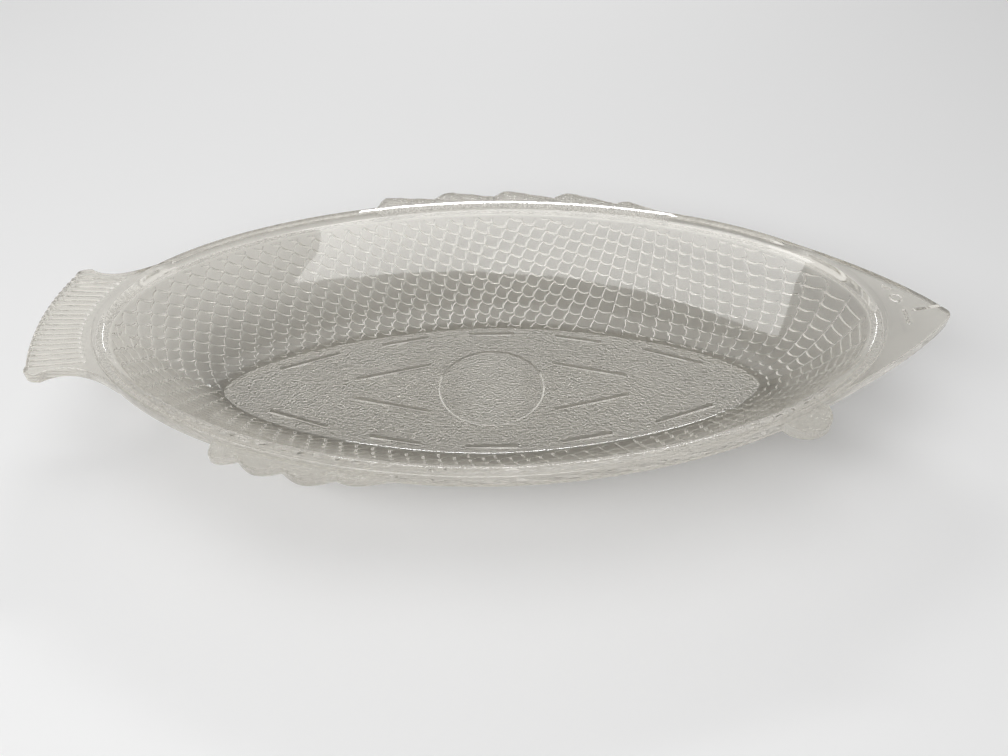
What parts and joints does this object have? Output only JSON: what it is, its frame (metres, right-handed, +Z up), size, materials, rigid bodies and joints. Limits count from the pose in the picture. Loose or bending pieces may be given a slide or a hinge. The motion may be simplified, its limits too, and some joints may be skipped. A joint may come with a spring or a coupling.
{
  "type": "fish shaped platter",
  "caption": "Fish-shaped pressed-glass serving platter: a deep oval bowl with scale-patterned walls, a flat rim, a plain head, a ribbed tail and lobed fins, standing on low foot ribs.",
  "frame": {"origin": "centre of the resting face under the floor", "axes": "+X along the fish to the snout, +Y to the dorsal fin, +Z up out of the bowl"},
  "size_m": [0.427, 0.2087, 0.0543],
  "materials": {
    "pressed_glass": "clear pressed soda-lime glass, fire-polished inside, relief on the outside and underside"
  },
  "bodies": {
    "root": {"floor": "pressed_glass", "roundel": "pressed_glass", "foot_ribs": "pressed_glass", "back_wall_fore": "pressed_glass", "back_wall_aft": "pressed_glass", "belly_wall_fore": "pressed_glass", "belly_wall_aft": "pressed_glass", "head_end_wall": "pressed_glass", "tail_end_wall": "pressed_glass", "rim_back": "pressed_glass", "rim_belly": "pressed_glass", "head": "pressed_glass", "eye": "pressed_glass", "tail_fin": "pressed_glass", "tail_ribs": "pressed_glass", "dorsal_fin": "pressed_glass", "anal_fin": "pressed_glass", "pectoral_fin": "pressed_glass"}
  },
  "joints": []
}
